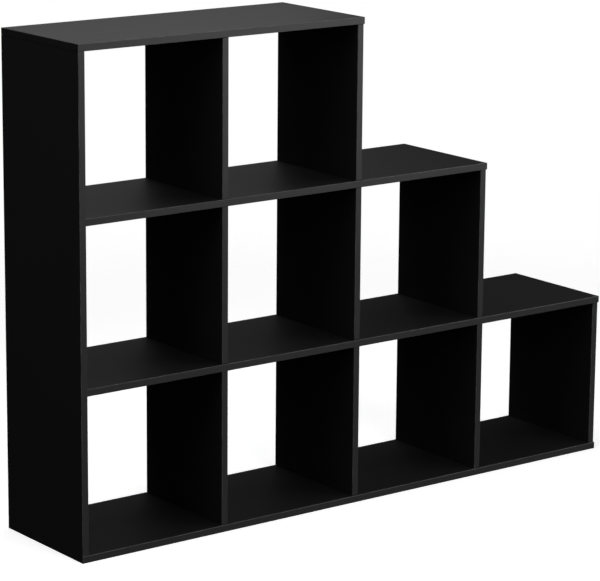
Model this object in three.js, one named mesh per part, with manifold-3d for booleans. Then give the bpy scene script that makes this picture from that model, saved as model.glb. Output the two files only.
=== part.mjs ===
// A staircase bookshelf: an open-backed unit of black boards whose rows of square
// compartments get shorter towards the top, four below, three above them and two at the top.
// One side panel stands at the left between the bottom and top panels, two shelves run from
// it, and every compartment is closed on its right by a divider. Cam locks in the faces of
// the uprights grip bolts that stand in the boards above and below, and glued dowels line
// the joints up. Millimetres, +Z up, front towards -Y, origin at the middle of the base.
import * as THREE from "three";
import { mergeVertices } from "three/addons/utils/BufferGeometryUtils.js";
import Module from "manifold-3d";

const wasm = await Module();
wasm.setup();

// Boards
const boardThickness = 15;
const shelfDepth = 290;
const bayWidth = 336; // clear width of a compartment
const bayHeight = 336; // clear height of a compartment
const dividerSetback = 3.5; // dividers stand back from the shelves' front and rear edges
const endOverhang = 0.5; // shelves run this far past the end dividers
const edgeRadius = 0.8; // rounding of the edge banding along a board's long edges
const baysInRow = [4, 3, 2]; // from the floor up
const rowNames = ["bottom_row", "middle_row", "top_row"];
const boardNames = ["bottom_panel", "lower_shelf", "upper_shelf", "top_panel"];

// Clearances
const jointGap = 0.3; // hairline joint between two boards
const fitGap = 0.3; // round a fitting in its bore
const cutOverrun = 1; // how far a cutter runs past the face that it opens

// Dowels, two in each joint
const dowelRadius = 4;
const dowelReach = 10; // into the mating board
const dowelRoot = 20; // glued length in the board that carries it
const dowelChamfer = 1;
const dowelInset = 45; // from a divider's front and rear edges
const dowelEndRoom = 1; // glue room at the bottom of a dowel hole

// Cam locks, one in each joint
const camRadius = 7.2;
const camHeight = 12;
const camSink = 0.3; // below the face of the board
const camFromEdge = 34; // from the edge of the board to the lock's centre
const camGripRadius = 4.5; // inner wall where the lock holds the bolt's head
const camEntryRadius = 6.2; // inner wall where the head goes in
const camCoreRadius = 4;
const camPocketHeight = 7;
const camEntryWidth = 7;
const camSlotHeight = 3.8; // for the bolt's neck
const camPastGrip = THREE.MathUtils.degToRad(25);
const camSweep = THREE.MathUtils.degToRad(230);
const recessLength = 8.4; // the screwdriver cross
const recessWidth = 1.8;
const recessDepth = 2.4;

// Cam bolts
const threadRadius = 2.6;
const threadLength = 11; // screwed into the mating board
const threadChamfer = 0.8;
const collarRadius = 3.6;
const collarHeight = 2;
const shankRadius = 2.8;
const boltBoreRadius = 4; // bore in a board's edge, from the edge to the lock
const neckRadius = 1.6;
const neckFromCam = 9.5; // the neck starts this far from the lock's centre
const neckTaper = 1.2;
const headFromCam = 3.9; // the head starts this far from the lock's centre
const headTaper = 1.7;
const headRadius = 3;
const headLength = 3.4;
const headRounding = 0.8;

// Facets of round pieces
const boardCornerFacets = 2;
const boreFacets = 8;
const boltFacets = 8;
const camFacets = 12;
const pocketFacets = 5;

// Sizes worked out from the ones above
const bayPitch = bayWidth + boardThickness;
const rowPitch = bayHeight + boardThickness;
const dividerDepth = shelfDepth - 2 * dividerSetback;
const leftX = -(baysInRow[0] * bayPitch + boardThickness + endOverhang) / 2;
const dowelY = dividerDepth / 2 - dowelInset;
const boreRadius = camRadius + fitGap;
const boreDepth = camSink + camHeight + fitGap;
const holeDepth = dowelReach + dowelEndRoom;
const middle = boardThickness / 2;
const uprightX = (column) => leftX + column * bayPitch;
const boardZ = (level) => level * rowPitch;
const topLevel = baysInRow.length;
const sideLength = topLevel * rowPitch - boardThickness - 2 * jointGap;
const dividerLength = bayHeight - 2 * jointGap;

const finishes = {
  board: new THREE.MeshStandardMaterial({ color: 0x2a2a2b, roughness: 0.5, metalness: 0 }),
  cam: new THREE.MeshStandardMaterial({ color: 0xb4b4b2, roughness: 0.4, metalness: 0.9 }),
  bolt: new THREE.MeshStandardMaterial({ color: 0xc2c3c4, roughness: 0.35, metalness: 0.9 }),
};

/** A manifold solid from a closed three.js geometry. */
function solid(geometry) {
  const bare = geometry.index ? geometry.toNonIndexed() : geometry.clone();
  bare.deleteAttribute("normal");
  bare.deleteAttribute("uv");
  const merged = mergeVertices(bare);
  return new wasm.Manifold(
    new wasm.Mesh({
      numProp: 3,
      vertProperties: merged.attributes.position.array,
      triVerts: new Uint32Array(merged.index.array),
    }),
  );
}

/** A three.js geometry from a manifold solid. */
function geometryOf(made) {
  const { vertProperties, triVerts } = made.getMesh();
  const geometry = new THREE.BufferGeometry();
  geometry.setAttribute("position", new THREE.BufferAttribute(vertProperties, 3));
  geometry.setIndex(new THREE.BufferAttribute(triVerts, 1));
  geometry.computeVertexNormals();
  return geometry;
}

/** A named mesh at a place, turned so that its own x, y and z lie along the given axes. */
function piece(name, made, finish, place, axes) {
  const mesh = new THREE.Mesh(geometryOf(made), finish);
  mesh.name = name;
  mesh.position.copy(place);
  if (axes) mesh.quaternion.setFromRotationMatrix(new THREE.Matrix4().makeBasis(...axes));
  return mesh;
}

/** A round bar that starts at a point and runs along a direction, as a solid. */
function bar(radius, length, from, direction, facets, chamfer = 0) {
  const outline = [[0, 0], [radius, 0], [radius, length - chamfer]];
  if (chamfer > 0) outline.push([radius - chamfer, length]);
  outline.push([0, length]);
  const turned = new THREE.LatheGeometry(outline.map((p) => new THREE.Vector2(...p)), facets);
  turned.applyQuaternion(new THREE.Quaternion().setFromUnitVectors(up, direction));
  turned.translate(from.x, from.y, from.z);
  return solid(turned);
}

const up = new THREE.Vector3(0, 1, 0); // a lathe turns round this axis
const alongX = new THREE.Vector3(1, 0, 0);
const alongY = new THREE.Vector3(0, 1, 0);
const alongZ = new THREE.Vector3(0, 0, 1);
const reverse = (v) => v.clone().negate();
const point = (x, y, z) => new THREE.Vector3(x, y, z);

/** The section of a board with banded long edges, as a rectangle with rounded corners. */
function boardSection(depth) {
  const halfDepth = depth / 2 - edgeRadius;
  const low = edgeRadius;
  const high = boardThickness - edgeRadius;
  const quarter = Math.PI / 2;
  const section = new THREE.Shape();
  section.absarc(-halfDepth, low, edgeRadius, 2 * quarter, 3 * quarter);
  section.absarc(halfDepth, low, edgeRadius, 3 * quarter, 4 * quarter);
  section.absarc(halfDepth, high, edgeRadius, 0, quarter);
  section.absarc(-halfDepth, high, edgeRadius, quarter, 2 * quarter);
  return section;
}

/** A board's section run out to its length, laid so that length, depth and thickness follow the axes. */
function board(length, depth, lengthAxis, depthAxis, thicknessAxis) {
  const run = new THREE.ExtrudeGeometry(boardSection(depth), {
    depth: length,
    bevelEnabled: false,
    curveSegments: boardCornerFacets,
  });
  run.applyMatrix4(new THREE.Matrix4().makeBasis(depthAxis, thicknessAxis, lengthAxis));
  return solid(run);
}

/** Bores a round hole that opens at a point on a face and runs into the board. */
function bore(made, radius, depth, mouth, inward, facets = boreFacets) {
  const from = mouth.clone().addScaledVector(inward, -cutOverrun);
  return made.subtract(bar(radius, depth + cutOverrun, from, inward, facets));
}

/** Adds the glued dowels that stand out of a board's edge, one near the front and one near the rear. */
function addDowels(made, edge, outward, reach) {
  for (const y of [-dowelY, dowelY]) {
    const root = edge.clone().setY(y).addScaledVector(outward, -dowelRoot);
    const length = dowelRoot + jointGap + reach;
    made = made.add(bar(dowelRadius, length, root, outward, boreFacets, dowelChamfer));
  }
  return made;
}

/** Bores the two dowel holes of a joint. */
function boreDowelHoles(made, mouth, inward, depth) {
  for (const y of [-dowelY, dowelY]) {
    made = bore(made, dowelRadius + fitGap, depth, mouth.clone().setY(y), inward);
  }
  return made;
}

/** Bores the edge hole for a cam bolt and the face hole for its lock. */
function boreCamSeat(made, edge, inward, face) {
  const centre = edge.clone().addScaledVector(inward, camFromEdge);
  made = bore(made, boltBoreRadius, camFromEdge, edge, inward);
  const mouth = centre.addScaledVector(face, middle);
  return bore(made, boreRadius, boreDepth, mouth, reverse(face), camFacets);
}

/** Bores what a joint needs in the face of the board that an upright or shelf meets. */
function boreMatingFace(made, mouth, inward) {
  made = boreDowelHoles(made, mouth, inward, holeDepth);
  return bore(made, threadRadius + fitGap, threadLength + fitGap, mouth, inward);
}

const hasUpright = (row, column) =>
  row >= 0 && row < topLevel && column >= 1 && column <= baysInRow[row];

/** The side panel: dowels and cam seats at both ends, and the shelves' holes in its inner face. */
function sidePanel() {
  let made = board(sideLength, shelfDepth, alongZ, reverse(alongY), alongX);
  const low = point(middle, 0, 0);
  const high = point(middle, 0, sideLength);
  made = addDowels(made, low, reverse(alongZ), dowelReach);
  made = addDowels(made, high, alongZ, dowelReach);
  made = boreCamSeat(made, low, alongZ, alongX);
  made = boreCamSeat(made, high, reverse(alongZ), alongX);
  for (let level = 1; level < topLevel; level++) {
    const height = boardZ(level) + middle - boardThickness - jointGap;
    made = boreMatingFace(made, point(boardThickness, 0, height), reverse(alongX));
  }
  return made;
}

/** A divider of one row: dowels up into the board above, and down or bored for them below. */
function divider(row, column) {
  let made = board(dividerLength, dividerDepth, alongZ, reverse(alongY), alongX);
  const low = point(middle, 0, 0);
  const high = point(middle, 0, dividerLength);
  const through = boardThickness + jointGap;
  made = addDowels(made, high, alongZ, dowelReach + (hasUpright(row + 1, column) ? through : 0));
  if (row === 0) made = addDowels(made, low, reverse(alongZ), dowelReach);
  else made = boreDowelHoles(made, low, alongZ, holeDepth);
  made = boreCamSeat(made, low, alongZ, alongX);
  return boreCamSeat(made, high, reverse(alongZ), alongX);
}

/** The length of the horizontal board at a level, and where its left end is. */
function boardSpan(level) {
  const bays = baysInRow[Math.max(level - 1, 0)];
  const butted = level > 0 && level < topLevel;
  const start = butted ? boardThickness + jointGap : 0;
  return { start, length: bays * bayPitch + boardThickness + endOverhang - start, bays, butted };
}

/** A horizontal board, bored where uprights meet it from below, from above or from both. */
function shelf(level) {
  const { start, length, bays, butted } = boardSpan(level);
  let made = board(length, shelfDepth, alongX, alongY, alongZ);
  for (let column = butted ? 1 : 0; column <= bays; column++) {
    const x = column * bayPitch + middle - start;
    const below = level > 0 && (column === 0 || hasUpright(level - 1, column));
    const above = level < topLevel && (column === 0 || hasUpright(level, column));
    const underside = point(x, 0, 0);
    if (below && above) {
      const throughCut = boardThickness + cutOverrun;
      made = boreDowelHoles(made, underside, alongZ, throughCut);
      made = bore(made, shankRadius + fitGap, throughCut, underside, alongZ);
    } else if (below) {
      made = boreMatingFace(made, underside, alongZ);
    } else if (above) {
      made = boreMatingFace(made, point(x, 0, boardThickness), reverse(alongZ));
    }
  }
  if (!butted) return made;
  const end = point(0, 0, middle);
  made = addDowels(made, end, reverse(alongX), dowelReach);
  return boreCamSeat(made, end, alongX, reverse(alongZ));
}

/** The spiral pocket of a cam lock: its wall closes in from the entry round to the grip. */
function spiralPocket() {
  const outline = [];
  for (let step = 0; step <= pocketFacets; step++) {
    const share = step / pocketFacets;
    const angle = share * camSweep - camPastGrip;
    const reach = THREE.MathUtils.lerp(camGripRadius, camEntryRadius, share);
    outline.push(new THREE.Vector2(Math.cos(angle), Math.sin(angle)).multiplyScalar(reach));
  }
  const rest = 2 * Math.PI - camSweep;
  const coreSteps = Math.floor(pocketFacets / 2);
  for (let step = 1; step < coreSteps; step++) {
    const angle = camSweep - camPastGrip + (rest * step) / coreSteps;
    outline.push(new THREE.Vector2(Math.cos(angle), Math.sin(angle)).multiplyScalar(camCoreRadius));
  }
  return new THREE.Shape(outline);
}

/** The sector that the bolt's neck sweeps through the lock's wall as the lock turns. */
function neckSector() {
  const reach = camRadius + cutOverrun;
  const outline = [new THREE.Vector2(0, 0)];
  for (let step = 0; step <= pocketFacets; step++) {
    const angle = (step / pocketFacets) * camSweep - camPastGrip;
    const reached = new THREE.Vector2(Math.cos(angle), Math.sin(angle)).multiplyScalar(reach);
    outline.push(reached);
  }
  return new THREE.Shape(outline);
}

/** A flat cutter of a given outline, centred on a height. */
function slab(outline, height, centre) {
  const run = new THREE.ExtrudeGeometry(outline, { depth: height, bevelEnabled: false });
  return solid(run.translate(0, 0, centre - height / 2));
}

/** A box cutter, centred on a point. */
function block(width, depth, height, centre) {
  const box = new THREE.BoxGeometry(width, depth, height);
  return solid(box.translate(centre.x, centre.y, centre.z));
}

/** A cam lock, turned shut: face up at zero height, with the bolt coming in along +x. */
function camLock() {
  const axisHeight = camSink - middle;
  let made = bar(camRadius, camHeight, point(0, 0, -camHeight), alongZ, camFacets);
  made = made.subtract(slab(spiralPocket(), camPocketHeight, axisHeight));
  made = made.subtract(slab(neckSector(), camSlotHeight, axisHeight));
  const entryLength = camRadius + cutOverrun;
  const entryCentre = point(-entryLength / 2, 0, axisHeight);
  made = made.subtract(block(entryLength, camEntryWidth, camPocketHeight, entryCentre));
  const crossHeight = recessDepth + cutOverrun;
  const crossCentre = point(0, 0, (cutOverrun - recessDepth) / 2);
  made = made.subtract(block(recessLength, recessWidth, crossHeight, crossCentre));
  return made.subtract(block(recessWidth, recessLength, crossHeight, crossCentre));
}

/** The profile of a bolt's end, from its shank to the tip of its head, whose lock is at a height. */
function headProfile(camAt) {
  const neckAt = camAt - neckFromCam;
  const headAt = camAt - headFromCam;
  const tip = headAt + headLength;
  return [
    [shankRadius, neckAt - neckTaper],
    [neckRadius, neckAt],
    [neckRadius, headAt],
    [headRadius, headAt + headTaper],
    [headRadius, tip - headRounding],
    [headRadius - headRounding, tip],
    [0, tip],
  ];
}

/** A solid turned round +y from a profile. */
function turned(profile) {
  const outline = profile.map(([radius, height]) => new THREE.Vector2(radius, height));
  return solid(new THREE.LatheGeometry(outline, boltFacets));
}

/** A bolt that screws into one board and stands up to the lock; its own +y leaves the board. */
function singleBolt() {
  return turned([
    [0, -threadLength],
    [threadRadius - threadChamfer, -threadLength],
    [threadRadius, threadChamfer - threadLength],
    [threadRadius, fitGap],
    [collarRadius, fitGap],
    [collarRadius, fitGap + collarHeight],
    [shankRadius, fitGap + collarHeight],
    ...headProfile(camFromEdge + jointGap),
  ]);
}

/** A bolt with a head at each end, for a lock on either side of a shelf; centred on the shelf. */
function doubleBolt() {
  const half = headProfile(middle + jointGap + camFromEdge);
  const mirrored = half.map(([radius, height]) => [radius, -height]).reverse();
  return turned([...mirrored, ...half]);
}

const bookshelf = new THREE.Group();
const lock = camLock();
const oneEnded = singleBolt();
const twoEnded = doubleBolt();

/** Adds a cam lock to an edge: the bolt comes in along one direction, the face looks along another. */
function addLock(name, edge, outward, face) {
  const centre = edge.clone().addScaledVector(outward, -camFromEdge);
  centre.addScaledVector(face, middle - camSink);
  const side = new THREE.Vector3().crossVectors(face, outward);
  bookshelf.add(piece(`cam_lock_${name}`, lock, finishes.cam, centre, [outward, side, face]));
}

/** Adds a bolt: its own +y runs along a direction, from a point. */
function addBolt(name, made, from, direction) {
  const across = direction.z === 0 ? alongZ : alongX;
  const side = new THREE.Vector3().crossVectors(across, direction);
  bookshelf.add(piece(`cam_bolt_${name}`, made, finishes.bolt, from, [across, direction, side]));
}

/** Adds one upright with its two locks. */
function addUpright(name, made, column, row, length) {
  const z = boardZ(row) + boardThickness + jointGap;
  bookshelf.add(piece(name, made, finishes.board, point(uprightX(column), 0, z)));
  const x = uprightX(column) + middle;
  addLock(`${name}_lower`, point(x, 0, z), reverse(alongZ), alongX);
  addLock(`${name}_upper`, point(x, 0, z + length), alongZ, alongX);
}

/** Adds the bolts that stand in one horizontal board. */
function addBoltsOf(level) {
  const { bays, butted } = boardSpan(level);
  for (let column = butted ? 1 : 0; column <= bays; column++) {
    const x = uprightX(column) + middle;
    const below = level > 0 && (column === 0 || hasUpright(level - 1, column));
    const above = level < topLevel && (column === 0 || hasUpright(level, column));
    const name = `${boardNames[level]}_${column}`;
    if (below && above) {
      addBolt(name, twoEnded, point(x, 0, boardZ(level) + middle), alongZ);
    } else if (below) {
      addBolt(name, oneEnded, point(x, 0, boardZ(level)), reverse(alongZ));
    } else if (above) {
      addBolt(name, oneEnded, point(x, 0, boardZ(level) + boardThickness), alongZ);
    }
  }
}

for (let level = 0; level <= topLevel; level++) {
  const { start, butted } = boardSpan(level);
  const name = boardNames[level];
  const place = point(leftX + start, 0, boardZ(level));
  bookshelf.add(piece(name, shelf(level), finishes.board, place));
  addBoltsOf(level);
  if (butted) {
    const end = point(leftX + start, 0, boardZ(level) + middle);
    const seat = point(leftX + boardThickness, 0, boardZ(level) + middle);
    addLock(`${name}_left`, end, reverse(alongX), reverse(alongZ));
    addBolt(`left_side_${name}`, oneEnded, seat, alongX);
  }
}

addUpright("left_side", sidePanel(), 0, 0, sideLength);
for (let row = 0; row < topLevel; row++) {
  for (let column = 1; column <= baysInRow[row]; column++) {
    const isEnd = column === baysInRow[row];
    const name = isEnd ? `${rowNames[row]}_end` : `${rowNames[row]}_divider_${column}`;
    addUpright(name, divider(row, column), column, row, dividerLength);
  }
}

export default bookshelf;
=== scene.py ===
"""The looks of a staircase bookshelf: black melamine-faced boards with banded edges, joined by
beech dowels and by cam locks that grip steel bolts. Everything is in metres, in the frame's own axes:
+X along the unit to its low end, +Y to the rear and +Z up."""

import logging
import math
from collections.abc import Iterator
from dataclasses import dataclass, field
from enum import Enum

import bmesh
import bpy
from mathutils import Matrix, Vector


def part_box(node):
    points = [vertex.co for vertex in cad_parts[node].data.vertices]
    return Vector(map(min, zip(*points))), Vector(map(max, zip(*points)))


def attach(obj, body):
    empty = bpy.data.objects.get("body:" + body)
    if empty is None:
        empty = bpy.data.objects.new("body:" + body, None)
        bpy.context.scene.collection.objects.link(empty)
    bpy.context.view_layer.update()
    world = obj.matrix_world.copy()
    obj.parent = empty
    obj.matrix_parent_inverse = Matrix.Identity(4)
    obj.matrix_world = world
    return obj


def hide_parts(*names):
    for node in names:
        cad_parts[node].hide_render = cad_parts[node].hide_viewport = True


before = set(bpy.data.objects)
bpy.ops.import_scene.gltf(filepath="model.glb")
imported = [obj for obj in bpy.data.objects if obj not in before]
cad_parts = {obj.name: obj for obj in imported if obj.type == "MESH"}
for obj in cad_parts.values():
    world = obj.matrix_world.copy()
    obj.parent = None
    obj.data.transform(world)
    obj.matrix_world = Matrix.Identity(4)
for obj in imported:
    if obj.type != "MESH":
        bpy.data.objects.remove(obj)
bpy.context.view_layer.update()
BODY = "root"
MM = 0.001
NEAR = 0.001 * MM
WELD_REACH = 0.002 * MM
ALIGNED = 0.9
FULL_TURN = 2 * math.pi
FLAT_SMOOTHING = math.radians(10)
ROUND_SMOOTHING = math.radians(32)
RIGHT = Vector((1, 0, 0))
REAR = Vector((0, 1, 0))
UP = Vector((0, 0, 1))
ARRIS = "arris"
WHITE = (1.0, 1.0, 1.0, 1.0)

log = logging.getLogger("bookshelf")

Solid = bmesh.types.BMesh
Edges = list[bmesh.types.BMEdge]
Piece = bpy.types.Object
Material = bpy.types.Material
Group = bpy.types.NodeTree
Node = bpy.types.Node
Socket = bpy.types.NodeSocket
Pair = tuple[float, float]
Triple = tuple[float, float, float]
Colour = tuple[float, float, float, float]
Value = float | Triple | Colour | Vector | Socket
Inputs = dict[str | int, Value]


class Axis(Enum):
    """The three directions of the frame, as indices of a vector."""

    X = 0
    Y = 1
    Z = 2

    @property
    def unit(self) -> Vector:
        """A vector of length one along this axis."""
        return Vector([float(i == self.value) for i in range(3)])


class Slot(Enum):
    """The record's material slots. The nodes of a lock or bolt are named after its slot."""

    BOARD = "board"
    LOCK = "cam_lock"
    BOLT = "cam_bolt"

    def fittings(self) -> Iterator[tuple[str, str, Vector, Vector]]:
        """Goes through the frame's locks or bolts.

        Yields:
            Each one's node, the name of the piece that stands for it, and its box's middle and size.
        """
        for node in sorted(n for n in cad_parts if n.startswith(self.value)):
            low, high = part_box(node)
            yield node, node.removeprefix("cam_"), (low + high) / 2, high - low


# Meshes


def slab(low: Vector, high: Vector) -> Solid:
    """A box between two corners.

    Args:
        low: its lowest corner.
        high: its highest corner.

    Returns:
        The box.
    """
    bm = bmesh.new()
    bmesh.ops.create_cube(bm, size=1.0)
    bmesh.ops.scale(bm, vec=high - low, verts=bm.verts)
    bmesh.ops.translate(bm, vec=(low + high) / 2, verts=bm.verts)
    return bm


def edges_on(bm: Solid, axis: Axis, place: float, along: tuple[Axis, ...]) -> Edges:
    """The edges in a plane square to an axis that run along one of some other axes.

    Args:
        bm: the mesh to look in.
        axis: the axis that the plane is square to.
        place: where the plane crosses that axis.
        along: the directions in which a wanted edge runs.

    Returns:
        The edges found.
    """
    found = []
    for edge in bm.edges:
        if any(abs(v.co[axis.value] - place) > NEAR for v in edge.verts):
            continue
        run = edge.verts[1].co - edge.verts[0].co
        if any(abs(run[a.value]) > run.length * ALIGNED for a in along):
            found.append(edge)
    return found


def rims(bm: Solid) -> Edges:
    """The edges round the two ends of a bar that stands on +z."""
    return [e for e in bm.edges if abs(e.verts[0].co.z - e.verts[1].co.z) < NEAR]


def round_off(bm: Solid, edges: Edges, radius: float, segments: int = 1) -> None:
    """Rounds or chamfers edges.

    Args:
        bm: the mesh that holds them.
        edges: the edges to take off.
        radius: how far from the edge the rounding starts.
        segments: faces across the rounding; one makes a chamfer.
    """
    bmesh.ops.bevel(
        bm, geom=edges, offset=radius, offset_type="OFFSET", segments=segments, profile=0.5,
        affect="EDGES", clamp_overlap=True, material=-1,
    )


def set_along(bm: Solid, way: Vector, place: Vector) -> None:
    """Turns what stands on +z so that it runs another way, and moves it.

    Args:
        bm: the mesh.
        way: the direction in which it is to run, of length one.
        place: where its origin goes.
    """
    turn = UP.rotation_difference(way).to_matrix()
    bmesh.ops.rotate(bm, cent=(0, 0, 0), matrix=turn, verts=bm.verts)
    bmesh.ops.translate(bm, vec=place, verts=bm.verts)


def rod(radius: float, start: Vector, way: Vector, length: float, sides: int) -> Solid:
    """A round bar.

    Args:
        radius: its radius.
        start: the middle of its first end.
        way: the direction in which it runs, of length one.
        length: how far it runs.
        sides: how many sides stand for the round.

    Returns:
        The bar.
    """
    bm = bmesh.new()
    bmesh.ops.create_cone(
        bm, cap_ends=True, segments=sides, radius1=radius, radius2=radius, depth=length,
    )
    set_along(bm, way, start + way * (length / 2))
    return bm


def prism(outline: list[Vector], low: float, high: float) -> Solid:
    """A flat outline in the XY plane, raised into a solid.

    Args:
        outline: its corners, counter-clockwise seen from above.
        low: the height of its underside.
        high: the height of its top.

    Returns:
        The solid.
    """
    bm = bmesh.new()
    base = bm.faces.new([bm.verts.new((p.x, p.y, low)) for p in outline])
    raised = bmesh.ops.extrude_face_region(bm, geom=[base], use_keep_orig=True)
    tops = [v for v in raised["geom"] if isinstance(v, bmesh.types.BMVert)]
    bmesh.ops.translate(bm, vec=(0, 0, high - low), verts=tops)
    bmesh.ops.recalc_face_normals(bm, faces=bm.faces)
    return bm


def linked(name: str, data: bpy.types.ID) -> Piece:
    """A new object of the scene, at the origin.

    Args:
        name: its name.
        data: its mesh, lamp or camera.

    Returns:
        The object.
    """
    made = bpy.data.objects.new(name, data)
    bpy.context.scene.collection.objects.link(made)
    return made


def as_object(bm: Solid, name: str) -> Piece:
    """Turns a bmesh into an object of the scene and frees it.

    Args:
        bm: the mesh.
        name: the object's name.

    Returns:
        The new object.
    """
    mesh = bpy.data.meshes.new(name)
    bm.to_mesh(mesh)
    bm.free()
    return linked(name, mesh)


def cut(target: Piece, cutters: list[Solid], material_index: int) -> None:
    """Cuts solids out of an object one after another, then joins points almost on top of each other.

    Args:
        target: the object that is cut.
        cutters: the solids to take away; each is used up.
        material_index: the target's material slot that the new walls take.
    """
    for bm in cutters:
        for face in bm.faces:
            face.material_index = material_index
        tool = as_object(bm, "cutter")
        modifier = target.modifiers.new("cut", "BOOLEAN")
        modifier.operation = "DIFFERENCE"
        modifier.solver = "EXACT"
        modifier.object = tool
        bpy.context.view_layer.update()
        graph = bpy.context.evaluated_depsgraph_get()
        result = bpy.data.meshes.new_from_object(target.evaluated_get(graph))
        target.modifiers.clear()
        spent = (target.data, tool.data)
        target.data = result
        bpy.data.objects.remove(tool)
        for mesh in spent:
            bpy.data.meshes.remove(mesh)
    bm = bmesh.new()
    bm.from_mesh(target.data)
    bmesh.ops.remove_doubles(bm, verts=bm.verts, dist=WELD_REACH)
    bmesh.ops.dissolve_degenerate(bm, edges=bm.edges, dist=WELD_REACH)
    bm.to_mesh(target.data)
    bm.free()


def finish_piece(
    piece: Piece, material: Material | None, node: str = "",
    smooth_below: float = FLAT_SMOOTHING,
) -> None:
    """Smooths a piece, gives it its material and hangs it on the frame.

    Args:
        piece: the finished shape.
        material: its material, or none where it has its own by now.
        node: the frame's node that it stands for, if any.
        smooth_below: faces that meet at a smaller angle than this are shaded as one surface.
    """
    mesh = piece.data
    if material:
        mesh.materials.append(material)
    mesh.shade_smooth()
    mesh.set_sharp_from_angle(angle=smooth_below)
    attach(piece, BODY)
    if node:
        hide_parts(node)
    log.info("%s: %d faces", piece.name, len(mesh.polygons))


# Shader graphs


@dataclass(frozen=True)
class Noise:
    """Soft noise: its waves to the metre, its number of finer layers, and how much those count."""

    scale: float
    detail: float
    roughness: float = 0.5


@dataclass(frozen=True)
class Relief:
    """How strongly a fine relief marks a surface, and how deep it is."""

    strength: float
    depth: float


class Graph:
    """A node tree that is put together in code."""

    # a colour mix shares its sockets' names with other kinds of mix, so they are known by index
    MIX_SHARE, MIX_FIRST, MIX_SECOND, MIX_RESULT = 0, 6, 7, 2

    def __init__(self, tree: Group, source: str = "ShaderNodeTexCoord", place: str = "Object") -> None:
        """Empties a tree and adds the node that it starts from.

        Args:
            tree: the tree.
            source: the type of that node.
            place: its output that tells where a point of the surface is.
        """
        self.tree = tree
        tree.nodes.clear()
        self.given = tree.nodes.new(source).outputs
        self.place = self.given[place]

    def feed(self, node: Node, inputs: Inputs) -> None:
        """Gives a node's inputs their values.

        Args:
            node: the node.
            inputs: values or source sockets, by the input's name or index.
        """
        for key, value in inputs.items():
            if isinstance(value, Socket):
                self.tree.links.new(value, node.inputs[key])
            else:
                node.inputs[key].default_value = value

    def node(self, kind: str, inputs: Inputs | None = None, **settings: object) -> Node:
        """Adds a node.

        Args:
            kind: its type's name, without the leading word ShaderNode.
            inputs: values or source sockets for its inputs, by name or index.
            settings: its own properties.

        Returns:
            The new node.
        """
        made = self.tree.nodes.new("ShaderNode" + kind)
        for name, value in settings.items():
            setattr(made, name, value)
        self.feed(made, inputs or {})
        return made

    def math(self, operation: str, *values: Value, clamp: bool = False) -> Socket:
        """A sum on one to three numbers or sockets; gives its result."""
        made = self.node("Math", dict(enumerate(values)), operation=operation, use_clamp=clamp)
        return made.outputs[0]

    def weighted(self, first: Value, weight: float, second: Value, rest: float) -> Socket:
        """The sum of two values, each times its weight."""
        return self.math("MULTIPLY_ADD", first, weight, self.math("MULTIPLY", second, rest))

    def swing(self, value: Value, middle: float, swing: float) -> Socket:
        """A number that swings to both sides of its middle as a value goes from nought to one."""
        return self.math("MULTIPLY_ADD", value, 2 * swing, middle - swing)

    def ramp(self, value: Value, start: Value, end: Value, low: float = 0.0) -> Socket:
        """A value carried smoothly from one range into that from low to one, and held at its ends."""
        inputs = {"Value": value, "From Min": start, "From Max": end, "To Min": low}
        return self.node("MapRange", inputs, interpolation_type="SMOOTHSTEP").outputs["Result"]

    def mix(self, share: Value, first: Value, second: Value) -> Socket:
        """Two colours mixed by a share of the second."""
        inputs = {self.MIX_SHARE: share, self.MIX_FIRST: first, self.MIX_SECOND: second}
        return self.node("Mix", inputs, data_type="RGBA").outputs[self.MIX_RESULT]

    def noise(self, noise: Noise, place: Socket | None = None, times: Socket | None = None) -> Socket:
        """Soft noise from nought to one.

        Args:
            noise: its kind.
            place: where it is looked up, if not at the surface's own place.
            times: what its scale is multiplied by, if by anything.

        Returns:
            The socket that gives it.
        """
        scale = self.math("MULTIPLY", times, noise.scale) if times else noise.scale
        inputs = {"Vector": place or self.place, "Scale": scale}
        inputs |= {"Detail": noise.detail, "Roughness": noise.roughness}
        return self.node("TexNoise", inputs).outputs["Fac"]

    def cells(self, scale: Value, feature: str) -> bpy.types.bpy_prop_collection:
        """The outputs of a pattern of cells, as many to the metre as its scale says."""
        return self.node("TexVoronoi", {"Vector": self.place, "Scale": scale}, feature=feature).outputs

    def stretched(self, scale: Value) -> Socket:
        """The surface's place, scaled along each axis."""
        return self.node("Mapping", {"Vector": self.place, "Scale": scale}).outputs[0]

    def bump(self, height: Value, relief: Relief) -> Socket:
        """The normal of a surface with a fine relief."""
        inputs = {"Strength": relief.strength, "Distance": relief.depth, "Height": height}
        return self.node("Bump", inputs).outputs[0]

    def group(self, tree: Group, number: float) -> list[Socket]:
        """Places a group, which takes the surface's place and a number; gives its results."""
        return list(self.node("Group", {0: self.place, 1: number}, node_tree=tree).outputs)


class GroupGraph(Graph):
    """The graph of a new node group that takes a place on the surface and a number."""

    def __init__(self, name: str, number: str) -> None:
        """Adds the group and its inputs.

        Args:
            name: the group's name.
            number: the name of the number.
        """
        tree = bpy.data.node_groups.new(name, "ShaderNodeTree")
        tree.interface.new_socket("Place", in_out="INPUT", socket_type="NodeSocketVector")
        tree.interface.new_socket(number, in_out="INPUT", socket_type="NodeSocketFloat")
        super().__init__(tree, "NodeGroupInput", "Place")
        self.number = self.given[number]

    def ended(self, results: Inputs) -> Group:
        """Gives the group its results.

        Args:
            results: the sockets that give them, by name.

        Returns:
            The finished group.
        """
        for label in results:
            self.tree.interface.new_socket(label, in_out="OUTPUT", socket_type="NodeSocketFloat")
        self.feed(self.tree.nodes.new("NodeGroupOutput"), results)
        return self.tree


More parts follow.
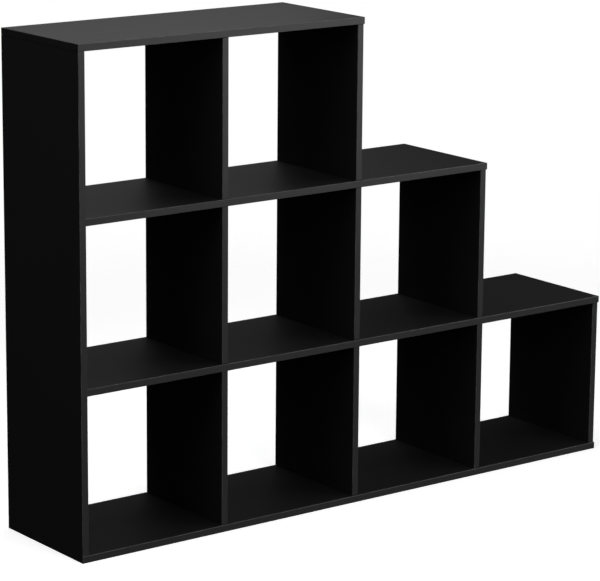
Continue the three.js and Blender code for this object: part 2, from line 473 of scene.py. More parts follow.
class MaterialGraph(Graph):
    """The graph of a new material."""

    def __init__(self, name: str) -> None:
        """Adds the material under its name."""
        self.material = bpy.data.materials.new(name)
        self.material.use_nodes = True
        super().__init__(self.material.node_tree)

    def ended(self, shader: str, inputs: Inputs) -> Material:
        """Gives the material its shader.

        Args:
            shader: the shader's type, without the leading word ShaderNode.
            inputs: the shader's inputs.

        Returns:
            The finished material.
        """
        self.node("OutputMaterial", {"Surface": self.node(shader, inputs).outputs[0]})
        return self.material


@dataclass(frozen=True)
class Emboss:
    """The fine pearl that a press plate leaves in a melamine skin or an extruded band."""

    fine: Noise = Noise(2.2, 2.0)
    fine_weight: float = 0.35
    cloud: Noise = Noise(5.0, 4.0, 0.6)

    def group(self) -> Group:
        """Builds a group that gives a height and a cloudy tone; its fine noise is scaled by the pearl."""
        graph = GroupGraph("pressed_pearl", "Pearl Scale")
        pearl = graph.cells(graph.number, "SMOOTH_F1")["Distance"]
        fine = graph.noise(self.fine, times=graph.number)
        height = graph.math("MULTIPLY_ADD", fine, self.fine_weight, pearl)
        return graph.ended({"Height": height, "Cloud": graph.noise(self.cloud)})


@dataclass(frozen=True)
class ArrisRubAndHighlight:
    """Spots along the arrises, where the mesh's own arris attribute is high; their colour is partly real
    wear and partly a painted highlight.
    """

    spots: Noise = Noise(60.0, 5.0, 0.65)
    softness: float = 0.25

    def group(self) -> Group:
        """Builds a group that gives the share of a place that takes the arris colour of wear and painted
        highlight.
        """
        graph = GroupGraph("rubbed_arris", "Amount")
        arris = graph.node("Attribute", attribute_name=ARRIS).outputs["Fac"]
        threshold = graph.math("SUBTRACT", 1.0, graph.number)
        full = graph.math("ADD", threshold, self.softness)
        broken = graph.ramp(graph.noise(self.spots), threshold, full)
        return graph.ended({"Rubbed": graph.math("MULTIPLY", broken, arris)})


@dataclass(frozen=True)
class Dust:
    """A thin uneven veil of dust on what faces up."""

    facing_range: Pair = (0.6, 1.0)
    drift: Noise = Noise(7.0, 4.0)
    drift_range: Pair = (0.35, 0.75)
    thinnest_drift: float = 0.25
    specks: Noise = Noise(900.0, 2.0)
    speck_range: Pair = (0.55, 0.7)
    faintest_speck: float = 0.3

    def group(self) -> Group:
        """Builds a group that gives the share of a place that dust covers."""
        graph = GroupGraph("settled_dust", "Amount")
        normal = graph.node("NewGeometry").outputs["Normal"]
        facing = graph.ramp(graph.node("SeparateXYZ", {0: normal}).outputs["Z"], *self.facing_range)
        drift = graph.ramp(graph.noise(self.drift), *self.drift_range, self.thinnest_drift)
        specks = graph.ramp(graph.noise(self.specks), *self.speck_range, self.faintest_speck)
        veil = graph.math("MULTIPLY", facing, drift)
        speckled = graph.math("MULTIPLY", specks, graph.number)
        return graph.ended({"Dust": graph.math("MULTIPLY", veil, speckled)})


@dataclass(frozen=True)
class Wiping:
    """The faint streaks that wiping leaves along a board, seen only in its gloss."""

    stretch: Triple = (0.35, 3.0, 0.35)
    broad: Noise = Noise(1.0, 5.0)
    broad_weight: float = 0.7
    fine: Noise = Noise(9.0, 2.0)
    fine_weight: float = 0.3

    def group(self) -> Group:
        """Builds a group that gives a streak's tone; both its noises are scaled by the streaks."""
        graph = GroupGraph("wiping_streaks", "Streak Scale")
        place = graph.stretched(self.stretch)
        fine, broad = (graph.noise(noise, place, graph.number) for noise in (self.fine, self.broad))
        return graph.ended({"Streak": graph.weighted(fine, self.fine_weight, broad, self.broad_weight)})


@dataclass(frozen=True)
class EffectGroups:
    """The effects that several materials share, each built once."""

    emboss: Group = field(default_factory=Emboss().group)
    arris_rub_and_highlight: Group = field(default_factory=ArrisRubAndHighlight().group)
    dust: Group = field(default_factory=Dust().group)
    wiping: Group = field(default_factory=Wiping().group)


@dataclass(frozen=True)
class BlackSkin:
    """A black decor skin: the melamine of a board's faces, or the band on its edges."""

    name: str
    colour: Colour = (0.0082, 0.0082, 0.0085, 1.0)
    cloud_colour: Colour = (0.0098, 0.0098, 0.0101, 1.0)
    # the arris colour: real wear, and a painted highlight along the arrises
    rub_and_highlight_colour: Colour = (0.03, 0.03, 0.031, 1.0)
    dust_colour: Colour = (0.22, 0.215, 0.205, 1.0)
    roughness: float = 0.42
    roughness_swing: float = 0.025
    rubbed_roughness: float = 0.12
    specular: float = 0.5
    pearl_scale: float = 1400.0
    pearl: Relief = Relief(0.35, 0.02 * MM)
    streak_scale: float = 14.0
    rubbed: float = 0.42
    dust: float = 0.006

    def material(self, groups: EffectGroups) -> Material:
        """Builds the material.

        Args:
            groups: the shared effects.

        Returns:
            The finished material.
        """
        graph = MaterialGraph(self.name)
        height, cloud = graph.group(groups.emboss, self.pearl_scale)
        [rubbed] = graph.group(groups.arris_rub_and_highlight, self.rubbed)
        [dust] = graph.group(groups.dust, self.dust)
        [streak] = graph.group(groups.wiping, self.streak_scale)
        colour = graph.mix(cloud, self.colour, self.cloud_colour)
        # lighter where the arris mask is high: a painted highlight as well as wear
        colour = graph.mix(rubbed, colour, self.rub_and_highlight_colour)
        rough = graph.swing(streak, self.roughness, self.roughness_swing)
        return graph.ended("BsdfPrincipled", {
            "Base Color": graph.mix(dust, colour, self.dust_colour),
            "Roughness": graph.math("MULTIPLY_ADD", rubbed, self.rubbed_roughness, rough),
            "Normal": graph.bump(height, self.pearl),
            "Specular IOR Level": self.specular,
        })


@dataclass(frozen=True)
class Chipboard:
    """The raw core, seen in the bores."""

    name: str = "raw_chipboard"
    chip_scale: float = 420.0
    chip_weight: float = 0.5
    fibre: Noise = Noise(1680.0, 3.0)
    fibre_weight: float = 0.5
    tone_range: Pair = (0.2, 0.75)
    pale: Colour = (0.42, 0.27, 0.14, 1.0)
    dark: Colour = (0.16, 0.085, 0.04, 1.0)
    relief: Relief = Relief(0.6, 0.25 * MM)
    roughness: float = 0.92

    def material(self) -> Material:
        """Builds the material and gives it back."""
        graph = MaterialGraph(self.name)
        chips = graph.cells(self.chip_scale, "F1")
        tone = graph.node("SeparateColor", {0: chips["Color"]}).outputs[0]
        share = graph.weighted(graph.noise(self.fibre), self.fibre_weight, tone, self.chip_weight)
        return graph.ended("BsdfPrincipled", {
            "Base Color": graph.mix(graph.ramp(share, *self.tone_range), self.dark, self.pale),
            "Normal": graph.bump(chips["Distance"], self.relief),
            "Roughness": self.roughness,
        })


@dataclass(frozen=True)
class Beech:
    """The wood of the dowels, with its grain along them."""

    name: str
    along: Axis
    pale: Colour = (0.60, 0.40, 0.22, 1.0)
    dark: Colour = (0.38, 0.22, 0.11, 1.0)
    stretch: float = 0.06
    grain: Noise = Noise(900.0, 4.0)
    grain_weight: float = 0.85
    fleck: Noise = Noise(1800.0, 2.0)
    fleck_weight: float = 0.25
    tone_range: Pair = (0.35, 0.7)
    relief: Relief = Relief(0.4, 0.05 * MM)
    roughness: float = 0.62

    def material(self) -> Material:
        """Builds the material and gives it back."""
        graph = MaterialGraph(self.name)
        scale = Vector((1, 1, 1)) - self.along.unit * (1 - self.stretch)
        grain = graph.noise(self.grain, graph.stretched(scale))
        share = graph.weighted(graph.noise(self.fleck), self.fleck_weight, grain, self.grain_weight)
        return graph.ended("BsdfPrincipled", {
            "Base Color": graph.mix(graph.ramp(share, *self.tone_range), self.pale, self.dark),
            "Normal": graph.bump(grain, self.relief),
            "Roughness": self.roughness,
        })


@dataclass(frozen=True)
class FittingMetal:
    """Tumbled zinc or plated steel."""

    name: str
    colour: Colour
    stained: Colour
    roughness: float
    cloud: Noise = Noise(160.0, 5.0, 0.6)
    stain_range: Pair = (0.35, 0.7)
    roughness_swing: float = 0.11
    pits: Noise = Noise(1800.0, 3.0)
    relief: Relief = Relief(0.5, 0.03 * MM)

    def material(self) -> Material:
        """Builds the material and gives it back."""
        graph = MaterialGraph(self.name)
        cloud = graph.noise(self.cloud)
        return graph.ended("BsdfPrincipled", {
            "Base Color": graph.mix(graph.ramp(cloud, *self.stain_range), self.colour, self.stained),
            "Roughness": graph.swing(cloud, self.roughness, self.roughness_swing),
            "Normal": graph.bump(graph.noise(self.pits), self.relief),
            "Metallic": 1.0,
        })


@dataclass(frozen=True)
class Finishes:
    """Every material of the bookshelf."""

    melamine: Material
    band: Material
    chipboard: Material
    beech_upright: Material
    beech_level: Material
    zinc: Material
    steel: Material

    @classmethod
    def mixed(cls) -> "Finishes":
        """Builds the shared effects and all the materials."""
        groups = EffectGroups()
        # the band is a lighter copy of the black melamine: its colour is a painted sheen for the light on
        # the front edges, and its arris colour a brighter painted highlight as well as wear
        band = BlackSkin(
            "black_edge_band",
            colour=(0.0265, 0.0265, 0.027, 1.0),
            cloud_colour=(0.0295, 0.0295, 0.03, 1.0),
            rub_and_highlight_colour=(0.11, 0.11, 0.111, 1.0),
            roughness=0.36,
            roughness_swing=0.02,
            pearl_scale=2200.0,
            pearl=Relief(0.2, 0.02 * MM),
            rubbed=0.62,
            dust=0.004,
        )
        return cls(
            melamine=BlackSkin("black_melamine").material(groups),
            band=band.material(groups),
            chipboard=Chipboard().material(),
            beech_upright=Beech("beech_upright", Axis.Z).material(),
            beech_level=Beech("beech_level", Axis.X).material(),
            zinc=FittingMetal("diecast_zinc", (0.56, 0.56, 0.55, 1), (0.36, 0.36, 0.36, 1), 0.42).material(),
            steel=FittingMetal("plated_steel", (0.66, 0.66, 0.68, 1), (0.5, 0.49, 0.46, 1), 0.3).material(),
        )


# The boards


@dataclass(frozen=True)
class Hole:
    """A round hole: where it opens, which way it runs, how wide and how deep it is."""

    mouth: Vector
    inward: Vector
    radius: float
    depth: float
    sides: int = 24
    overrun: float = 1 * MM

    def cutter(self) -> Solid:
        """The solid that cuts this hole."""
        start = self.mouth - self.inward * self.overrun
        return rod(self.radius, start, self.inward, self.depth + self.overrun, self.sides)


@dataclass
class Board:
    """A chipboard core with melamine faces, and a band glued on each edge that shows."""

    finishes: Finishes
    name: str
    low: Vector
    high: Vector
    length_axis: Axis
    banded_ends: tuple[bool, bool] = (False, False)
    holes: list[Hole] = field(default_factory=list)
    band: float = 1.0 * MM
    arris: float = 0.8 * MM
    arris_facets: int = 4
    rub_and_highlight_share: float = 0.95
    seam: float = 0.12 * MM

    @property
    def middle(self) -> Vector:
        """The middle of its box."""
        return (self.low + self.high) / 2

    def core(self) -> None:
        """The core, black on its faces and sealed ends and bare in its bores."""
        run = self.length_axis.unit
        start_band, end_band = (self.band * banded for banded in self.banded_ends)
        low = self.low + REAR * self.band + run * start_band
        high = self.high - REAR * self.band - run * end_band
        bm = slab(low, high)
        along = (self.length_axis,)
        seams = edges_on(bm, Axis.Y, low.y, along) + edges_on(bm, Axis.Y, high.y, along)
        round_off(bm, seams, self.seam)
        piece = as_object(bm, self.name + "_core")
        skins = (self.finishes.melamine, self.finishes.chipboard)
        for skin in skins:
            piece.data.materials.append(skin)
        cut(piece, [hole.cutter() for hole in self.holes], skins.index(self.finishes.chipboard))
        finish_piece(piece, None, self.name)

    def strip(self, label: str, axis: Axis, far: bool) -> None:
        """One glued band; those on the ends match the board's faces, the others are greyer, which paints a
        sheen on the long edges.

        Args:
            label: what it is called after the board's name.
            axis: the axis that its outer face is square to.
            far: whether it is on the board's far side along that axis.
        """
        on_end = axis is self.length_axis
        inset = REAR * (self.band if on_end else 0.0)
        low, high = self.low + inset, self.high - inset
        kept, moved = (high, low) if far else (low, high)
        outer = kept[axis.value]
        moved[axis.value] = outer - self.band if far else outer + self.band
        around = (Axis.Y,) if on_end else (Axis.X, Axis.Z)
        bm = slab(low, high)
        round_off(bm, edges_on(bm, axis, moved[axis.value], (self.length_axis, Axis.Y)), self.seam)
        round_off(bm, edges_on(bm, axis, outer, around), self.arris, self.arris_facets)
        # marks the arris, where the material paints a highlight as well as wear
        layer = bm.verts.layers.float.new(ARRIS)
        for vertex in bm.verts:
            reach = min(abs(vertex.co[a.value] - end[a.value]) for a in around for end in (low, high))
            reach = max(reach, abs(vertex.co[axis.value] - outer))
            vertex[layer] = float(reach < self.arris * self.rub_and_highlight_share)
        piece = as_object(bm, f"{self.name}_{label}")
        finish_piece(piece, self.finishes.melamine if on_end else self.finishes.band)

    def build(self) -> None:
        """Builds the core, and the bands on its long edges and on the ends that show."""
        self.core()
        self.strip("front_band", Axis.Y, False)
        self.strip("rear_band", Axis.Y, True)
        for label, far in (("left_end_band", False), ("right_end_band", True)):
            if self.banded_ends[far]:
                self.strip(label, self.length_axis, far)


# The fittings


@dataclass(frozen=True)
class CamLock:
    """A die-cast lock, turned shut on a bolt that comes in along its own +x; its face looks along +z."""

    radius: float = 7.2 * MM
    height: float = 12 * MM
    rim: float = 0.5 * MM
    rim_facets: int = 3
    sides: int = 48
    pocket_height: float = 7 * MM
    pocket_centre: float = -7.2 * MM
    grip_radius: float = 4.5 * MM
    entry_radius: float = 6.2 * MM
    core_radius: float = 4 * MM
    entry_width: float = 7 * MM
    slot_height: float = 3.8 * MM
    past_grip: float = math.radians(25)
    sweep: float = math.radians(230)
    steps: int = 18
    recess_length: float = 8.4 * MM
    recess_width: float = 1.8 * MM
    recess_depth: float = 2.4 * MM
    arrow_reach: float = 6.3 * MM
    arrow_length: float = 1.5 * MM
    arrow_width: float = 1.7 * MM
    arrow_sink: float = 0.35 * MM
    overrun: float = 1 * MM

    def around(self, angle: float, reach: float) -> Vector:
        """The point at an angle from the pocket's start and at a distance from the axis."""
        angle -= self.past_grip
        return Vector((math.cos(angle) * reach, math.sin(angle) * reach, 0))

    def spiral(self) -> list[Vector]:
        """The pocket's outline: its wall closes in from the entry round to the grip."""
        outline = []
        for step in range(self.steps + 1):
            share = step / self.steps
            reach = self.grip_radius + (self.entry_radius - self.grip_radius) * share
            outline.append(self.around(share * self.sweep, reach))
        rest = FULL_TURN - self.sweep
        back_steps = self.steps // 2
        for step in range(1, back_steps):
            outline.append(self.around(self.sweep + rest * step / back_steps, self.core_radius))
        return outline

    def sector(self) -> list[Vector]:
        """What the bolt's neck sweeps through the wall as the lock turns."""
        reach = self.radius + self.overrun
        angles = [self.sweep * step / self.steps for step in range(self.steps + 1)]
        return [Vector((0, 0, 0))] + [self.around(angle, reach) for angle in angles]

    def cross(self) -> list[Vector]:
        """The outline of the screwdriver's recess."""
        long, short = self.recess_length / 2, self.recess_width / 2
        outline = []
        for quarter in range(4):
            turn = Matrix.Rotation(quarter * FULL_TURN / 4, 3, "Z")
            for x, y in ((long, -short), (long, short), (short, short)):
                outline.append(turn @ Vector((x, y, 0)))
        return outline

    def arrow(self) -> list[Vector]:
        """The mark that points at the bolt."""
        half = self.arrow_width / 2
        back = self.arrow_reach - self.arrow_length
        return [Vector((back, -half, 0)), Vector((self.arrow_reach, 0, 0)), Vector((back, half, 0))]

    def shape(self) -> Piece:
        """The lock at the origin, with its face at zero height."""
        bm = rod(self.radius, -UP * self.height, UP, self.height, self.sides)
        round_off(bm, rims(bm), self.rim, self.rim_facets)
        lock = as_object(bm, "lock_pattern")
        half_slot, half_entry = self.slot_height / 2, self.entry_width / 2
        centre = self.pocket_centre
        low, high = centre - self.pocket_height / 2, centre + self.pocket_height / 2
        hollows = [
            prism(self.spiral(), low, high),
            prism(self.sector(), centre - half_slot, centre + half_slot),
            slab(Vector((-self.radius - self.overrun, -half_entry, low)), Vector((0, half_entry, high))),
            prism(self.cross(), -self.recess_depth, self.overrun),
            prism(self.arrow(), -self.arrow_sink, self.overrun),
        ]
        cut(lock, hollows, 0)
        return lock


@dataclass(frozen=True)
class CamBolt:
    """A plated bolt. Its own +z leaves the board that it stands in."""

    thread_radius: float = 2.6 * MM
    thread_length: float = 11 * MM
    thread_pitch: float = 1.6 * MM
    thread_depth: float = 0.7 * MM
    thread_tip: float = 0.8 * MM
    joint: float = 0.3 * MM
    collar_radius: float = 3.6 * MM
    collar_height: float = 2 * MM
    collar_chamfer: float = 0.3 * MM
    shank_radius: float = 2.8 * MM
    cam_reach: float = 34 * MM
    neck_radius: float = 1.6 * MM
    neck_from_cam: float = 9.5 * MM
    neck_taper: float = 1.2 * MM
    head_from_cam: float = 3.9 * MM
    head_taper: float = 1.7 * MM
    head_radius: float = 3 * MM
    head_length: float = 3.4 * MM
    head_rounding: float = 0.8 * MM
    sides: int = 24
    weld_reach: float = 0.01 * MM

    def head(self, cam_at: float) -> list[Pair]:
        """Radius and height of each point from the shank to the head's tip.

        Args:
            cam_at: the height of the lock's axis.

        Returns:
            The points, from the shank out.
        """
        neck_at = cam_at - self.neck_from_cam
        head_at = cam_at - self.head_from_cam
        tip = head_at + self.head_length
        return [
            (self.shank_radius, neck_at - self.neck_taper),
            (self.neck_radius, neck_at),
            (self.neck_radius, head_at),
            (self.head_radius, head_at + self.head_taper),
            (self.head_radius, tip - self.head_rounding),
            (self.head_radius - self.head_rounding, tip),
            (0.0, tip),
        ]

    def thread(self) -> list[Pair]:
        """The threaded end as a run of crests and roots, from its tip to the board's face."""
        root = self.thread_radius - self.thread_depth
        points = [(0.0, -self.thread_length), (root - self.thread_tip / 2, -self.thread_length)]
        turns = int((self.thread_length - self.thread_tip) / self.thread_pitch)
        first = -self.thread_length + self.thread_tip
        for turn in range(turns):
            foot = first + turn * self.thread_pitch
            points += [(root, foot), (self.thread_radius, foot + self.thread_pitch / 2)]
        points.append((root, first + turns * self.thread_pitch))
        return points

    def collar(self) -> list[Pair]:
        """The collar that stops the bolt at the board's face."""
        low, high = self.joint, self.joint + self.collar_height
        trimmed = self.collar_radius - self.collar_chamfer
        return [
            (trimmed, low),
            (self.collar_radius, low + self.collar_chamfer),
            (self.collar_radius, high - self.collar_chamfer),
            (trimmed, high),
            (self.shank_radius, high),
        ]

    def profile(self, double: bool, board: float) -> list[Pair]:
        """The whole outline, from the lowest point to the highest.

        Args:
            double: whether a head stands at each end, for a lock on either side of a board.
            board: that board's thickness.

        Returns:
            Radius and height of each point.
        """
        if double:
            half = self.head(board / 2 + self.joint + self.cam_reach)
            return [(radius, -height) for radius, height in reversed(half)] + half
        return self.thread() + self.collar() + self.head(self.joint + self.cam_reach)

    def shape(self, double: bool, board: float) -> Solid:
        """The bolt, turned from its outline.

        Args:
            double: whether a head stands at each end.
            board: the thickness of the board that a double bolt passes.

        Returns:
            The bolt along +z, with its middle at the origin.
        """
        bm = bmesh.new()
        verts = [bm.verts.new((radius, 0, height)) for radius, height in self.profile(double, board)]
        line = [bm.edges.new(pair) for pair in zip(verts, verts[1:])]
        bmesh.ops.spin(
            bm, geom=verts + line, cent=(0, 0, 0), axis=(0, 0, 1), angle=FULL_TURN, steps=self.sides,
            use_merge=True,
        )
        bmesh.ops.remove_doubles(bm, verts=bm.verts, dist=self.weld_reach)
        bmesh.ops.recalc_face_normals(bm, faces=bm.faces)
        heights = [v.co.z for v in bm.verts]
        bmesh.ops.translate(bm, vec=(0, 0, -(min(heights) + max(heights)) / 2), verts=bm.verts)
        return bm


@dataclass(frozen=True)
class Dowel:
    """A fluted beech dowel with chamfered ends."""

    radius: float = 4 * MM
    flute_depth: float = 0.25 * MM
    flutes: int = 16
    sides_to_flute: int = 4
    chamfer: float = 0.9 * MM

    def shape(self, start: Vector, way: Vector, length: float) -> Solid:
        """The dowel in its place.

        Args:
            start: the middle of its first end.
            way: the direction in which it runs.
            length: its length.

        Returns:
            The dowel.
        """
        bm = rod(self.radius, Vector((0, 0, 0)), UP, length, self.flutes * self.sides_to_flute)
        for vertex in bm.verts:
            angle = math.atan2(vertex.co.y, vertex.co.x)
            dip = self.flute_depth * max(0.0, math.cos(angle * self.flutes))
            vertex.co.xy *= (self.radius - dip) / self.radius
        round_off(bm, rims(bm), self.chamfer)
        set_along(bm, way, start)
        return bm


# The bookshelf


@dataclass
class Bookshelf:
    """The boards and what joins them, laid out from the frame's own boxes."""

    finishes: Finishes
    compartments: tuple[int, ...] = (4, 3, 2)
    rows: tuple[str, ...] = ("bottom_row", "middle_row", "top_row")
    levels: tuple[str, ...] = ("bottom_panel", "lower_shelf", "upper_shelf", "top_panel")
    side: str = "left_side"
    joint: float = 0.3 * MM
    dowel_inset: float = 45 * MM
    dowel_reach: float = 10 * MM
    dowel_root: float = 20 * MM
    dowel_fit: float = 0.1 * MM
    glue_room: float = 1 * MM
    cam_from_edge: float = 34 * MM
    cam_radius: float = 7.5 * MM
    cam_depth: float = 12.6 * MM
    bolt_bore: float = 4 * MM
    thread_bore: float = 2.9 * MM
    thread_depth: float = 11.3 * MM
    shank_bore: float = 3.1 * MM
    double_bolt_share: float = 1.5
    lock: CamLock = CamLock()
    bolt: CamBolt = CamBolt()
    dowel: Dowel = Dowel()

    def __post_init__(self) -> None:
        """Lays out the boards; the uprights are known by row and column, the side panel as 0, 0."""
        self.lying = [self.lying_board(level) for level in range(len(self.levels))]
        self.uprights = {(0, 0): self.standing_board(self.side, 0, -1)}
        for row, count in enumerate(self.compartments):
            for column in range(1, count + 1):
                name = f"{self.rows[row]}_end" if column == count else f"{self.rows[row]}_divider_{column}"
                self.uprights[row, column] = self.standing_board(name, row, row + 1)
        self.thickness = self.lying[0].high.z - self.lying[0].low.z
        upright = self.uprights[0, 1]
        self.dowel_y = (upright.high.y - upright.low.y) / 2 - self.dowel_inset
        self.dowel_bore = self.dowel.radius + self.dowel_fit

    def lying_board(self, level: int) -> Board:
        """A horizontal board without its holes.

        Args:
            level: its place from the floor up.

        Returns:
            The board, kept clear of the side panel where it butts against that.
        """
        low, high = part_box(self.levels[level])
        butted = 0 < level < len(self.levels) - 1
        if butted:
            low.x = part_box(self.side)[1].x + self.joint
        return Board(self.finishes, self.levels[level], low, high, Axis.X, (not butted, True))

    def standing_board(self, name: str, below: int, above: int) -> Board:
        """An upright without its holes.

        Args:
            name: its node.
            below: the level that it stands on.
            above: the level that it carries.

        Returns:
            The board.
        """
        low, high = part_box(name)
        low.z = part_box(self.levels[below])[1].z + self.joint
        high.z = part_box(self.levels[above])[0].z - self.joint
        return Board(self.finishes, name, low, high, Axis.Z)

    def add_dowels(
        self, label: str, start: Vector, way: Vector, length: float, taker: Board, giver: Board,
    ) -> None:
        """A pair of dowels between two boards, with their holes in both.

        Args:
            label: what the joint is called after the giving board's name.
            start: the middle of the joint, at the giving board's edge.
            way: the direction from the giving board into the other.
            length: how far the dowels stand out of the giving board's edge.
            taker: the board that takes their free ends.
            giver: the board that they are glued into.
        """
        finish = self.finishes.beech_upright if giver.length_axis is Axis.Z else self.finishes.beech_level
        for side, y in (("front", -self.dowel_y), ("rear", self.dowel_y)):
            place = Vector((start.x, y, start.z))
            bm = self.dowel.shape(place - way * self.dowel_root, way, self.dowel_root + length)
            piece = as_object(bm, f"dowel_{giver.name}_{label}_{side}")
            finish_piece(piece, finish, smooth_below=ROUND_SMOOTHING)
            giver.holes.append(Hole(place, -way, self.dowel_bore, self.dowel_root + self.glue_room))
            mouth = place + way * (length - self.dowel_reach)
            taker.holes.append(Hole(mouth, way, self.dowel_bore, self.dowel_reach + self.glue_room))

    def bore_for_lock(self, board: Board, edge: Vector, inward: Vector, face: Vector) -> None:
        """The seat of a lock and the bore that its bolt comes in by.

        Args:
            board: the board that holds the lock.
            edge: the middle of the board's edge at the joint.
            inward: the direction from that edge into the board.
            face: the direction in which the lock's face looks.
        """
        seat = edge + inward * self.cam_from_edge + face * (self.thickness / 2)
        board.holes.append(Hole(edge, inward, self.bolt_bore, self.cam_from_edge))
        board.holes.append(Hole(seat, -face, self.cam_radius, self.cam_depth, sides=self.lock.sides))

    def bore_for_thread(self, board: Board, mouth: Vector, inward: Vector) -> None:
        """The small bore that a bolt is screwed into."""
        board.holes.append(Hole(mouth, inward, self.thread_bore, self.thread_depth))

    def bore_through(self, shelf: Board, mouth: Vector) -> None:
        """The bores by which two dowels and a bolt pass a shelf.

        Args:
            shelf: the shelf.
            mouth: the middle of the joint, at the shelf's underside.
        """
        for y in (-self.dowel_y, self.dowel_y, 0.0):
            radius = self.dowel_bore if y else self.shank_bore
            shelf.holes.append(Hole(mouth + REAR * y, UP, radius, self.thickness + self.glue_room))

    def join_upright(self, row: int, column: int, upright: Board) -> None:
        """The joints of one upright with the boards above and below it.

        Args:
            row: its row.
            column: its column, nought for the side panel.
            upright: the upright.
        """
        x = upright.middle.x
        foot, head = Vector((x, 0, upright.low.z)), Vector((x, 0, upright.high.z))
        self.bore_for_lock(upright, foot, UP, RIGHT)
        self.bore_for_lock(upright, head, -UP, RIGHT)
        above = self.lying[row + 1 if column else -1]
        underside = Vector((x, 0, above.low.z))
        reach = self.joint + self.dowel_reach
        next_up = self.uprights.get((row + 1, column))
        if next_up:
            self.add_dowels("head", head, UP, reach + self.thickness + self.joint, next_up, upright)
            self.bore_through(above, underside)
        else:
            self.add_dowels("head", head, UP, reach, above, upright)
            self.bore_for_thread(above, underside, UP)
        if row == 0:
            below = self.lying[0]
            self.add_dowels("foot", foot, -UP, reach, below, upright)
            self.bore_for_thread(below, Vector((x, 0, below.high.z)), -UP)

    def join_shelf(self, shelf: Board) -> None:
        """The joint of a shelf with the side panel.

        Args:
            shelf: the shelf.
        """
        side = self.uprights[0, 0]
        z = shelf.middle.z
        end = Vector((shelf.low.x, 0, z))
        self.add_dowels("left", end, -RIGHT, self.joint + self.dowel_reach, side, shelf)
        self.bore_for_lock(shelf, end, RIGHT, -UP)
        self.bore_for_thread(side, Vector((side.high.x, 0, z)), -RIGHT)

    def place_locks(self) -> None:
        """A lock for each of the frame's, turned shut and set to its face."""
        pattern = self.lock.shape()
        for node, name, centre, _ in Slot.LOCK.fittings():
            in_shelf = node.endswith("_left")
            face = -UP if in_shelf else RIGHT
            upward = UP if node.endswith("_upper") else -UP
            bolt_way = -RIGHT if in_shelf else upward
            turn = Matrix((bolt_way, face.cross(bolt_way), face)).transposed().to_4x4()
            mesh = pattern.data.copy()
            mesh.transform(Matrix.Translation(centre + face * (self.lock.height / 2)) @ turn)
            finish_piece(linked(name, mesh), self.finishes.zinc, node, ROUND_SMOOTHING)
        bpy.data.objects.remove(pattern)

    def place_bolts(self) -> None:
        """A bolt for each of the frame's, with its thread in the board that it leaves."""
        single_length = self.bolt.thread_length + self.bolt.cam_reach
        for node, name, centre, size in Slot.BOLT.fittings():
            level = size.x > size.z
            double = not level and size.z > single_length * self.double_bolt_share
            # one-ended bolts hang from their board, apart from those of the bottom panel
            hangs = not double and self.levels[0] not in node
            upward = -UP if hangs else UP
            bm = self.bolt.shape(double, self.thickness)
            set_along(bm, RIGHT if level else upward, centre)
            finish_piece(as_object(bm, name), self.finishes.steel, node, ROUND_SMOOTHING)

    def build(self) -> None:
        """Builds everything, joints first because they bore the boards."""
        for (row, column), upright in self.uprights.items():
            self.join_upright(row, column, upright)
        for shelf in self.lying[1:-1]:
            self.join_shelf(shelf)
        for board in (*self.lying, *self.uprights.values()):
            board.build()
        self.place_locks()
        self.place_bolts()


# The studio


@dataclass(frozen=True)
class SoftBox:
    """A square-cornered soft lamp: how brightly it lights what is matt, and how bright it looks in gloss.

    A level of one is as bright as white paper in plain light.
    """

    name: str
    place: Triple
    size: Pair
    matt: float = 0.0
    gloss: float = 0.0

    def hang(self, target: Vector) -> None:
        """Hangs the lamp so that it faces a point, as one part for matt and one for gloss.

        Args:
            target: the point.
        """
        place = Vector(self.place)
        turn = (target - place).to_track_quat("-Z", "Y").to_matrix().to_4x4()
        for label, level in (("matt", self.matt), ("gloss", self.gloss)):
            if level == 0.0:
                continue
            data = bpy.data.lights.new(f"{self.name}_{label}", "AREA")
            data.shape = "RECTANGLE"
            data.size, data.size_y = self.size
            data.energy = level * math.pi * self.size[0] * self.size[1]
            lamp = linked(data.name, data)
            lamp.matrix_world = Matrix.Translation(place) @ turn
            lamp.visible_camera = False
            lamp.visible_diffuse = label == "matt"
            lamp.visible_glossy = label == "gloss"


@dataclass(frozen=True)
class Glow:
    """A bright part of the room, seen in gloss alone: its direction, how narrow and how bright it is."""

    towards: Triple
    narrowness: float
    level: float


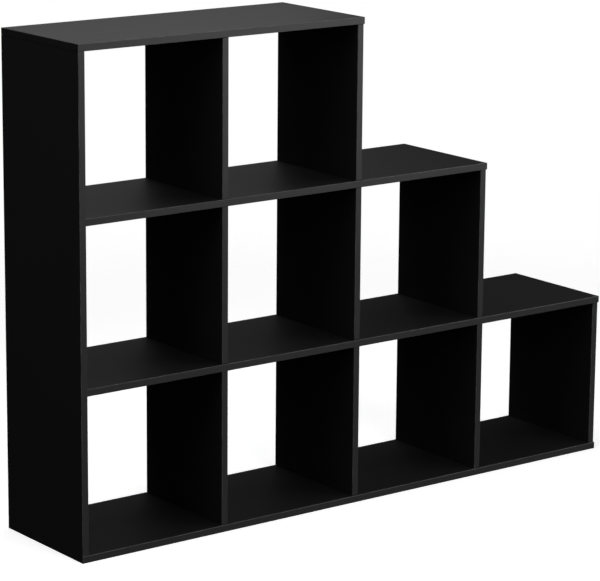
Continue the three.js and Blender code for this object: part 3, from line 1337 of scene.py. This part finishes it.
@dataclass
class Studio:
    """A pale floor, soft light and the camera."""

    camera_place: Triple = (-3.6456, -4.7236, 1.8611)
    heading: float = math.radians(37.281)
    tilt: float = math.radians(12.403)
    roll: float = math.radians(0.458)
    sensor: float = 36.0
    lens: float = 167.57
    shift_y: float = -0.075
    target: Triple = (0.0, 0.0, 0.5)
    floor_radius: float = 3.0
    floor_sides: int = 96
    floor_fade: Pair = (0.9, 2.9)
    floor_colours: tuple[Colour, Colour] = ((0.84, 0.84, 0.84, 1.0), (0.87, 0.87, 0.87, 1.0))
    floor_clouds: Noise = Noise(3.0, 3.0)
    floor_lift: float = 0.6
    room_light: float = 0.03
    soft_boxes: tuple[SoftBox, ...] = (
        SoftBox("front_box", (-0.6, -4.4, 3.2), (2.6, 2.0), matt=5.6),
        SoftBox("left_box", (-4.0, -0.6, 3.0), (2.4, 2.4), matt=4.2),
        SoftBox("right_box", (2.2, -2.6, 1.8), (1.6, 1.6), matt=3.6),
        SoftBox("overhead_box", (0.0, 0.3, 2.3), (1.8, 1.2), matt=2.8, gloss=2.2),
        SoftBox("rear_box", (0.4, 1.6, 2.0), (1.8, 1.0), gloss=0.58),
        SoftBox("low_panel", (1.2, -1.8, 0.75), (1.8, 0.7), gloss=1.2),
        SoftBox("near_panel", (1.3, -1.6, 1.2), (1.6, 0.8), gloss=0.65),
    )
    glows: tuple[Glow, ...] = (
        Glow((0.6, -0.3, 0.7), 16.0, 2.4),
        Glow((1.0, 0.1, 0.1), 12.0, 0.42),
        Glow((-0.8, -0.6, 0.2), 6.0, 0.35),
        Glow((0.0, -1.0, 0.25), 8.0, 0.25),
        Glow((0.6, -0.8, -0.2), 12.0, 0.15),
        Glow((-0.6, 0.8, 0.0), 12.0, 0.007),
        Glow((-1.0, 0.1, 0.5), 16.0, 0.16),
    )

    def camera(self) -> None:
        """The camera, at the photograph's viewing angle."""
        data = bpy.data.cameras.new("camera")
        data.sensor_width = self.sensor
        data.lens = self.lens
        data.shift_y = self.shift_y
        camera = linked("camera", data)
        sine, cosine = math.sin(self.heading), math.cos(self.heading)
        reach = math.cos(self.tilt)
        level = Vector((cosine, -sine, 0))
        forward = Vector((sine * reach, cosine * reach, -math.sin(self.tilt)))
        upward = level.cross(forward)
        right = level * math.cos(self.roll) + upward * math.sin(self.roll)
        above = upward * math.cos(self.roll) - level * math.sin(self.roll)
        turn = Matrix((right, above, -forward)).transposed().to_4x4()
        camera.matrix_world = Matrix.Translation(self.camera_place) @ turn
        bpy.context.scene.camera = camera

    def floor(self) -> None:
        """A round pale floor that fades into the white behind it and keeps the shadow."""
        bm = bmesh.new()
        bmesh.ops.create_circle(bm, cap_ends=True, segments=self.floor_sides, radius=self.floor_radius)
        floor = as_object(bm, "studio_floor")
        graph = MaterialGraph("studio_floor")
        away = graph.node("VectorMath", {0: graph.place}, operation="LENGTH").outputs["Value"]
        tone = graph.mix(graph.noise(self.floor_clouds), *self.floor_colours)
        matt = graph.node("BsdfDiffuse", {"Color": tone})
        direct = graph.node("LightPath").outputs["Is Camera Ray"]
        lift = graph.node("Emission", {"Strength": graph.math("MULTIPLY", direct, self.floor_lift)})
        lit = graph.node("AddShader", {0: matt.outputs[0], 1: lift.outputs[0]})
        clear = graph.node("BsdfTransparent")
        layers = {0: graph.ramp(away, *self.floor_fade), 1: lit.outputs[0], 2: clear.outputs[0]}
        floor.data.materials.append(graph.ended("MixShader", layers))
        floor.visible_glossy = False
        floor.visible_diffuse = False

    def world(self) -> None:
        """White behind everything; the boards' gloss sees a room that is bright only where it glows."""
        world = bpy.data.worlds.new("studio")
        bpy.context.scene.world = world
        world.use_nodes = True
        graph = Graph(world.node_tree, place="Generated")
        room: Value = 0.0
        for glow in self.glows:
            inputs = {0: graph.place, 1: Vector(glow.towards).normalized()}
            facing = graph.node("VectorMath", inputs, operation="DOT_PRODUCT").outputs["Value"]
            lobe = graph.math("POWER", graph.math("MAXIMUM", facing, 0.0), glow.narrowness)
            room = graph.math("MULTIPLY_ADD", lobe, glow.level, room)
        ways = graph.node("LightPath").outputs
        direct = ways["Is Camera Ray"]
        mirror = graph.math("ADD", ways["Is Glossy Ray"], ways["Is Transmission Ray"], clamp=True)
        matt = graph.math("SUBTRACT", 1.0, graph.math("ADD", mirror, direct), clamp=True)
        seen = graph.math("MULTIPLY_ADD", mirror, room, direct)
        strength = graph.math("MULTIPLY_ADD", matt, self.room_light, seen)
        backdrop = graph.node("Background", {"Color": WHITE, "Strength": strength})
        graph.node("OutputWorld", {"Surface": backdrop.outputs[0]})

    def build(self) -> None:
        """Sets up everything but the object."""
        self.camera()
        self.floor()
        self.world()
        for box in self.soft_boxes:
            box.hang(Vector(self.target))
        bpy.context.scene.view_settings.view_transform = "Standard"


def main() -> None:
    """Builds the studio and the bookshelf."""
    logging.basicConfig(level=logging.INFO, format="%(name)s: %(message)s")
    Studio().build()
    Bookshelf(Finishes.mixed()).build()


if __name__ == "__main__":
    main()
